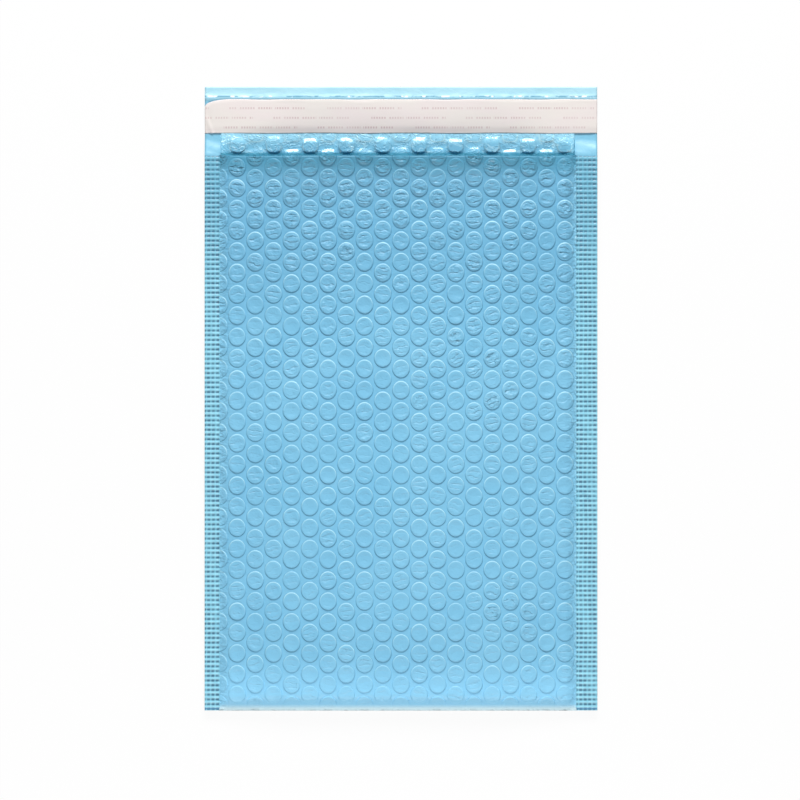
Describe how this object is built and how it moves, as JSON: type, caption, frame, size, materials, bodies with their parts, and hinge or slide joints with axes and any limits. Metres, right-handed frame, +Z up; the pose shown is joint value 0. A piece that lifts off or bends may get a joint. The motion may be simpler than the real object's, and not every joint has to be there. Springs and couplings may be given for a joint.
{
  "type": "padded envelope",
  "caption": "Flat padded envelope with a bubble lined pocket, crimped side seams and an open flap with a peel strip over its adhesive.",
  "frame": {"origin": "on the surface that the envelope lies on, under the middle of its whole width and its whole length with the flap open", "axes": "+X across the envelope to the right, +Y from the bottom fold to the flap, +Z up out of the front"},
  "size_m": [0.216, 0.343, 0.0176],
  "materials": {
    "outer_film": "soft satin film, light blue",
    "bubble_lining": "clear glossy bubble film over the blue film",
    "adhesive": "smooth clear hot-melt adhesive",
    "release_liner": "smooth off-white coated strip with faint pale rows"
  },
  "bodies": {
    "root": {"outer_film": "outer_film", "bubble_lining": "bubble_lining", "adhesive_strip": "adhesive", "release_liner": "release_liner"}
  },
  "joints": []
}
